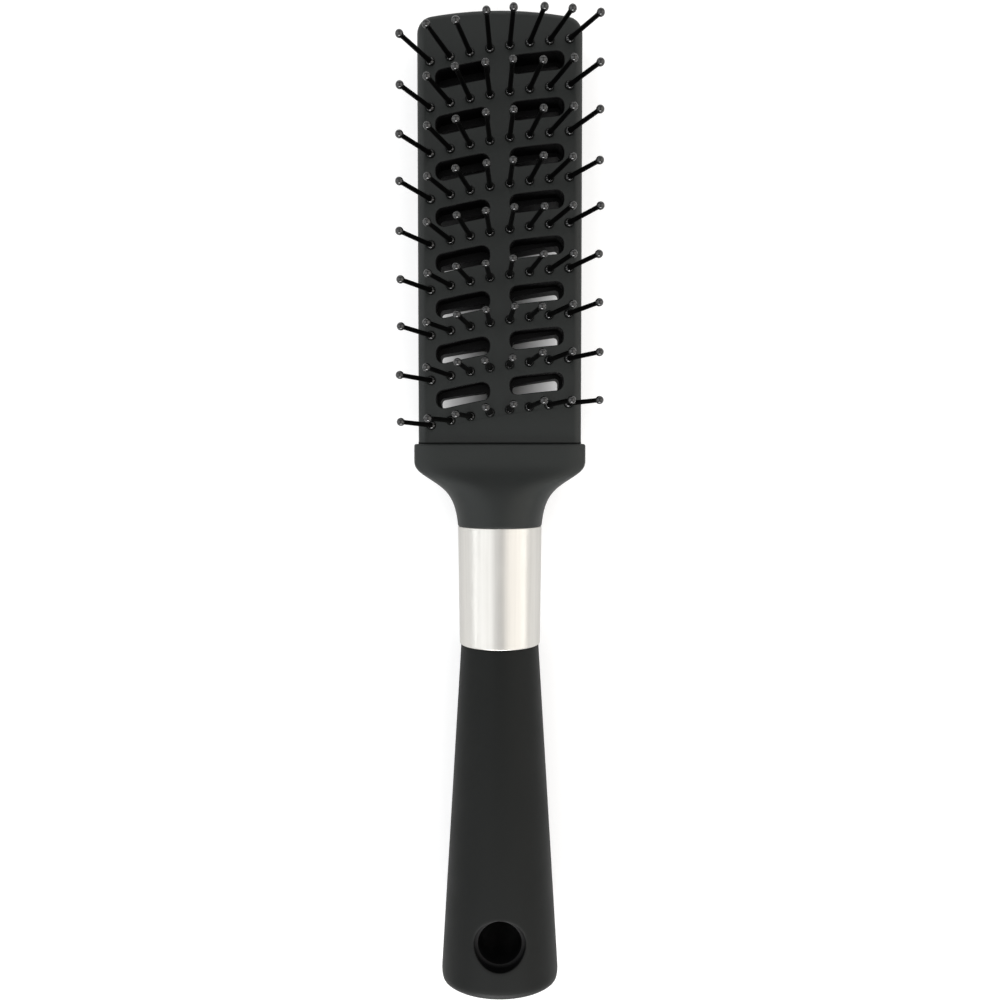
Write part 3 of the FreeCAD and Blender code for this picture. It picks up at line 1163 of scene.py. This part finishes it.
@dataclass
class Collar:
    """Shoulders that hold the head and turn from flat and wide to round."""

    axis: Axis
    head: Head
    proud: float = 1.15
    straight: float = 3.8
    shoulder_depth: float = 6.0
    shoulder_power: float = 2.9
    squareness: float = 7.0
    lip: float = 0.5
    lip_steps: int = 5
    neck_radius: float = 10.3
    neck_lip: float = 0.3
    neck_lip_steps: int = 3
    steps: int = 48
    sides: int = 96

    @property
    def length(self) -> float:
        """Distance from the seam to the sleeve."""
        return self.axis.seam - self.axis.neck_end

    def fade(self, down: float) -> float:
        """How much of the shoulders is left at a distance from the seam."""
        past = max(0.0, down - self.straight)
        return 1 / (1 + (past / self.shoulder_depth) ** self.shoulder_power)

    def section(self, down: float, inset: float) -> Points:
        """Outlines the collar.

        Args:
            down: Distance from the seam.
            inset: How far the outline is taken in.

        Returns:
            The section's points.
        """
        least = self.fade(self.length)
        share = (self.fade(down) - least) / (1 - least)
        half_width = self.neck_radius + (self.head.width / 2 + self.proud - self.neck_radius) * share
        half_depth = self.neck_radius + (self.head.thickness / 2 + self.proud - self.neck_radius) * share
        power = 2 + (self.squareness - 2) * share ** 2
        return self.axis.section(self.axis.seam - down, half_width - inset, half_depth - inset, power,
                                 self.sides)

    def dress(self, palette: Palette) -> None:
        """Builds the collar as one smooth form and puts it in place of its node."""
        middle = self.length - self.lip - self.neck_lip
        stations = quarter(self.lip, self.lip_steps)[::-1]
        stations += [(self.lip + middle * i / self.steps, 0.0) for i in range(1, self.steps)]
        stations += [(self.length - back, inset)
                     for back, inset in quarter(self.neck_lip, self.neck_lip_steps)]
        shell = Shell()
        loops = [shell.loop(self.section(down, inset)) for down, inset in stations]
        shell.skin(loops)
        shell.cap(loops[0])
        shell.cap(loops[-1])
        settle(shell.build("collar_form"), Finish.SOFT_BLACK, "collar", palette.moulded)


@dataclass
class Sleeve:
    """The plain metal tube between the collar and the grip."""

    axis: Axis
    top_radius: float = 10.28
    end_radius: float = 9.9
    bore: float = 9.0
    lip: float = 0.3
    lip_steps: int = 4
    steps: int = 16
    sides: int = 128

    @property
    def length(self) -> float:
        """Distance from the collar to the grip."""
        return self.axis.neck_end - self.axis.grip_top

    def radius(self, down: float) -> float:
        """Outer radius at a distance from the collar."""
        return self.top_radius + (self.end_radius - self.top_radius) * down / self.length

    def dress(self, palette: Palette) -> None:
        """Builds the tube with softly rolled ends and puts it in place of its node."""
        lip = [(down, -inset) for inset, down in quarter(self.lip, self.lip_steps)]
        between = self.length - 2 * self.lip
        places = lip + [(self.lip + between * i / self.steps, 0.0) for i in range(1, self.steps)]
        places += [(self.length - down, inset) for down, inset in reversed(lip)]
        stations = [(0.0, self.bore)]
        stations += [(down, self.radius(down) + inset) for down, inset in places]
        stations.append((self.length, self.bore))
        shell = Shell()
        loops = [shell.loop(self.axis.section(self.axis.neck_end - down, radius, radius, 2.0, self.sides))
                 for down, radius in stations]
        shell.skin(loops + [loops[0]])
        settle(shell.build("sleeve_tube"), Finish.SILVER, "sleeve", palette.silver)


@dataclass
class Grip:
    """The handle: round at the sleeve, oval at its end, with a stepped hole through it.

    The surface round the hole is cut open as far as hole_margin past the rim's round, and
    filled from there to a collar of rim_collar width round the rim.
    """

    axis: Axis
    top_radius: float = 9.55
    end_width: float = 29.05
    end_thickness: float = 24.5
    end_round: float = 3.0
    end_round_across: float = 0.8
    end_round_above: float = 5.2
    end_steps: int = 8
    top_round: float = 0.3
    top_steps: int = 3
    hole_from_end: float = 14.25
    hole_radius: float = 5.2
    hole_margin: float = 1.2
    step_round: float = 0.2
    step_ease: float = 0.06
    rim_radius: float = 6.2
    rim_depth: float = 2.0
    rim_round: float = 0.2
    rim_steps: int = 5
    rim_collar: float = 0.6
    rim_sides: int = 72
    sides: int = 120
    rings: int = 84

    @property
    def hole_centre(self) -> Vector:
        """Where the hole's axis stands."""
        return Vector((0.0, self.axis.grip_end + self.hole_from_end))

    def size(self, y: float) -> tuple[float, float]:
        """Half the grip's width and half its thickness at y."""
        length = self.axis.grip_top - self.axis.grip_end
        share = min(1.0, (self.axis.grip_top - y) / (length - self.end_round))
        half_width = self.top_radius + (self.end_width / 2 - self.top_radius) * share
        half_depth = self.top_radius + (self.end_thickness / 2 - self.top_radius) * share
        return half_width, half_depth

    def surface(self, radius: float, way: int) -> Points:
        """The points of the surface round the hole.

        Args:
            radius: Their distance from the hole's axis.
            way: 1 for the upper surface, -1 for the lower one.

        Returns:
            The points.
        """
        points = circle(self.hole_centre, radius, 0.0, self.rim_sides)
        for point in points:
            half_width, half_depth = self.size(point.y)
            rise = half_depth * math.sqrt(max(0.0, 1 - (point.x / half_width) ** 2))
            point.z = self.axis.height + way * rise
        return points

    def stations(self) -> list[tuple[float, float, float]]:
        """Y of every ring, from the sleeve to the end, and its insets across and above."""
        places = []
        for back, inset in quarter(self.top_round, self.top_steps)[::-1]:
            places.append((self.axis.grip_top - back, inset, inset))
        start = self.axis.grip_top - self.top_round
        stop = self.axis.grip_end + self.end_round
        for i in range(1, self.rings):
            places.append((start + (stop - start) * i / self.rings, 0.0, 0.0))
        for back, ease in quarter(1.0, self.end_steps):
            places.append((self.axis.grip_end + self.end_round * back,
                           self.end_round_across * ease, self.end_round_above * ease))
        return places

    def wrap(self, shell: Shell, loops: Sequence[Loop]) -> dict[int, Loop]:
        """Adds the grip's outer surface, left open above and below the hole.

        Args:
            shell: The grip's shell.
            loops: The loops of its rings.

        Returns:
            The corners of each opening, turning left round the hole, by 1 above and -1 below.
        """
        edges: dict[int, set[tuple[int, int]]] = {1: set(), -1: set()}
        reach = self.rim_radius + self.rim_round + self.hole_margin
        for low, high in zip(loops, loops[1:]):
            for i in range(self.sides):
                j = (i + 1) % self.sides
                quad = (low[i], low[j], high[j], high[i])
                middle = sum((shell.points[c] for c in quad), Vector()) / 4
                if (middle.to_2d() - self.hole_centre).length >= reach:
                    shell.cap(quad)
                    continue
                border = edges[1 if middle.z > self.axis.height else -1]
                for edge in zip(quad, (*quad[1:], quad[0])):
                    if edge[::-1] in border:
                        border.remove(edge[::-1])
                    else:
                        border.add(edge)
        return {way: walked(border)[::way] for way, border in edges.items()}

    def rim(self, shell: Shell, way: int, border: Loop) -> Loop:
        """Joins the surface to the hole's stepped rim.

        Args:
            shell: The grip's shell.
            way: 1 for the upper side, -1 for the lower one.
            border: The opening in the surface.

        Returns:
            The loop at the mouth of the narrow part of the hole.
        """
        outer = self.rim_radius + self.rim_round
        edge = self.surface(outer, way)
        collar = shell.loop(self.surface(outer + self.rim_collar, way))
        shell.plate(border, [collar])
        rounds = []
        for out, drop in quarter(self.rim_round, self.rim_steps):
            ring = circle(self.hole_centre, self.rim_radius + out, 0.0, self.rim_sides)
            rounds.append(shell.loop([Vector((p.x, p.y, top.z - way * drop)) for p, top in zip(ring, edge)]))
        shell.skin([collar, *rounds])
        floor = self.axis.height + way * (self.size(self.hole_centre.y)[1] - self.rim_depth)
        walls = []
        for radius, drop in ((self.rim_radius, 0.0), (self.hole_radius + self.step_round, 0.0),
                             (self.hole_radius + self.step_ease, self.step_ease),
                             (self.hole_radius, self.step_round)):
            walls.append(shell.loop(circle(self.hole_centre, radius, floor - way * drop, self.rim_sides)))
        # The hole's stepped walls take the bare finish, which paints the shade inside the hole.
        shell.skin([rounds[-1], *walls], inner=True)
        return walls[-1]

    def dress(self, palette: Palette) -> None:
        """Builds the grip as one smooth form around its hole and puts it in place of its node."""
        shell = Shell()
        loops = []
        for y, across, above in self.stations():
            half_width, half_depth = self.size(y)
            loops.append(shell.loop(self.axis.section(y, half_width - across, half_depth - above, 2.0,
                                                      self.sides)))
        openings = self.wrap(shell, loops)
        shell.cap(loops[0])
        shell.cap(loops[-1])
        bores = [self.rim(shell, way, border) for way, border in openings.items()]
        # The bore between both sides takes the bare finish, which paints the shade inside the hole.
        shell.bridge(*bores, inner=True)
        piece = shell.build("grip_form", weigh=False)
        settle(piece, Finish.SOFT_BLACK, "grip", palette.soft, palette.bare)


# Studio


@dataclass
class Softbox:
    """A lamp that is aimed at the brush. Its place and size are in metres."""

    name: str
    place: tuple[float, float, float]
    size: tuple[float, float]
    power: float
    colour: Colour = (1.0, 1.0, 1.0)
    target: ClassVar[tuple[float, float, float]] = (0.0, 0.0, 0.012)

    def build(self) -> None:
        """Adds the lamp to the scene."""
        lamp = bpy.data.lights.new(self.name, "AREA")
        lamp.shape = "RECTANGLE"
        lamp.size, lamp.size_y = self.size
        lamp.energy = self.power
        lamp.color = self.colour
        holder = in_scene(self.name, lamp)
        holder.location = self.place
        aim = Vector(self.target) - Vector(self.place)
        holder.rotation_euler = aim.to_track_quat("-Z", "Y").to_euler()


@dataclass
class Studio:
    """White ground, soft lamps and the camera of a catalogue picture.

    The ground rises a little toward the head, so that it meets the grip's end and the
    neck. It glows for the camera and, weaker, for mirrored rays: more so the farther it is,
    over glow_reach in metres, and less under the head, where the brush shades it.
    """

    axis: Axis
    camera_place: tuple[float, float, float] = (0.04, 10.65, 218.05)
    camera_tilt_deg: float = 2.33
    focal_share: float = 0.836
    sensor_width: float = 36.0
    near_clip: float = 0.01
    ground_reach: float = 3000.0
    ground_start: float = 2.5
    ground_slope: float = 1.94 / 111.6
    ground_below: float = 0.02
    ground_grey: float = 0.62
    shade_from: float = 2.0 * MM
    shade_to: float = 17.0 * MM
    shade_power: float = 1.5
    mirrored_share: float = 0.35
    glow: tuple[float, float] = (0.5, 1.0)
    glow_reach: tuple[float, float] = (0.4, 1.4)
    room: tuple[tuple[float, float], ...] = ((0.0, 0.62), (0.3, 0.55), (0.7, 0.4), (0.93, 0.52), (1.0, 0.64))
    softboxes: tuple[Softbox, ...] = (
        Softbox("Left softbox", (-0.43, 0.0, 0.56), (1.0, 0.58), 1.85, (0.97, 0.985, 1.0)),
        Softbox("Right softbox", (0.465, 0.0, 0.53), (1.0, 0.66), 2.05, (1.0, 0.955, 0.90)),
        Softbox("Left strip", (-0.86, 0.0, 0.29), (1.0, 0.10), 1.0, (0.96, 0.98, 1.0)),
        Softbox("Right strip", (0.86, 0.0, 0.29), (1.0, 0.10), 0.9, (1.0, 0.97, 0.93)),
        Softbox("Handle strip", (0.0, -0.84, 0.34), (0.8, 0.24), 7.5),
        Softbox("Head strip", (0.0, 0.86, 0.29), (1.0, 0.12), 0.9),
    )

    def ground_glow(self, nodes: NodeTree) -> Socket:
        """Adds the strength of the ground's own glow, for the camera and for mirrored rays.

        Args:
            nodes: The ground's material nodes.

        Returns:
            The strength's socket.
        """
        path = nodes.add("ShaderNodeLightPath").outputs
        where = nodes.add("ShaderNodeTexCoord").outputs["Object"]
        place = nodes.add("ShaderNodeSeparateXYZ", {"0": where}).outputs
        outward = nodes.add("ShaderNodeMapRange", {"Value": nodes.math("ABSOLUTE", place[0]),
                                                   "From Min": self.shade_from, "From Max": self.shade_to})
        beside = nodes.math("POWER", outward.outputs[0], self.shade_power)
        below = nodes.math("LESS_THAN", place[1], self.axis.seam * MM)
        beyond = nodes.math("GREATER_THAN", place[1], self.axis.head_end * MM)
        clear = nodes.math("MAXIMUM", beside, nodes.math("MAXIMUM", below, beyond))
        mirrored = nodes.math("MULTIPLY", path["Is Glossy Ray"], self.mirrored_share)
        seen = nodes.math("ADD", nodes.math("MULTIPLY", path["Is Camera Ray"], clear),
                          nodes.math("MULTIPLY", mirrored, beside))
        away = nodes.add("ShaderNodeVectorMath", {"0": where}, operation="LENGTH").outputs["Value"]
        near, far = self.glow_reach
        level = nodes.add("ShaderNodeMapRange", {"Value": away, "From Min": near, "From Max": far,
                                                 "To Min": self.glow[0], "To Max": self.glow[1]})
        return nodes.math("MULTIPLY", seen, level.outputs[0])

    def ground(self) -> None:
        """Adds the white ground."""
        reach = self.ground_reach
        low = self.axis.grip_end + self.ground_start
        corners = ((-reach, -reach), (reach, -reach), (reach, reach), (-reach, reach))
        shell = Shell()
        shell.cap(shell.loop([Vector((x, y, (y - low) * self.ground_slope - self.ground_below))
                              for x, y in corners]))
        ground = shell.build("ground", weigh=False)
        material, nodes, shader = new_material("White ground")
        grey = self.ground_grey
        nodes.feed(shader, {"Base Color": (grey, grey, grey, 1.0), "Roughness": 0.9,
                            "Specular IOR Level": 0.1, "Emission Color": (1.0, 1.0, 1.0, 1.0),
                            "Emission Strength": self.ground_glow(nodes)})
        ground.data.materials.append(material)

    def world(self) -> None:
        """Gives the room a soft light, white where the camera sees it."""
        world = bpy.data.worlds.new("White room")
        world.use_nodes = True
        nodes = NodeTree(world.node_tree)
        place = nodes.add("ShaderNodeTexCoord").outputs["Generated"]
        height = nodes.add("ShaderNodeSeparateXYZ", {"0": place}).outputs[2]
        ramp = nodes.add("ShaderNodeValToRGB", {"Fac": height})
        elements = ramp.color_ramp.elements
        while len(elements) < len(self.room):
            elements.new(0.5)
        for element, (where, grey) in zip(elements, self.room):
            element.position = where
            element.color = (grey, grey, grey, 1.0)
        seen = nodes.add("ShaderNodeLightPath").outputs["Is Camera Ray"]
        mix = nodes.add("ShaderNodeMix", {"0": seen, "6": ramp.outputs[0], "7": (1.0, 1.0, 1.0, 1.0)},
                        data_type="RGBA")
        nodes.feed(world.node_tree.nodes["Background"], {"0": mix.outputs[2], "1": 1.0})
        bpy.context.scene.world = world

    def camera(self) -> None:
        """Sets the camera over the brush, where the photograph was taken from."""
        lens = bpy.data.cameras.new("Overhead camera")
        lens.sensor_width = self.sensor_width
        lens.lens = self.focal_share * self.sensor_width
        lens.clip_start = self.near_clip
        holder = in_scene(lens.name, lens)
        holder.location = Vector(self.camera_place) * MM
        holder.rotation_euler = (-math.radians(self.camera_tilt_deg), 0.0, 0.0)
        bpy.context.scene.camera = holder

    def build(self) -> None:
        """Builds the ground, the room, the lamps and the camera."""
        self.ground()
        self.world()
        for softbox in self.softboxes:
            softbox.build()
        self.camera()
        bpy.context.scene.view_settings.view_transform = "Standard"


def main() -> None:
    """Loads the frame, dresses every part of the brush and lights it."""
    logging.basicConfig(level=logging.INFO, format="%(name)s: %(message)s")
    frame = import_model()
    axis = Axis()
    head = Head(axis, Rows())
    palette = Palette.mixed()
    for part in (head, Pins(head), Collar(axis, head), Sleeve(axis), Grip(axis)):
        part.dress(palette)
    rod = frame["nodes"]["core_rod"]
    rod.data.materials.clear()
    rod.data.materials.append(palette.rod)
    LOG.info("core_rod keeps its own shape")
    Studio(axis).build()


if __name__ == "__main__":
    main()
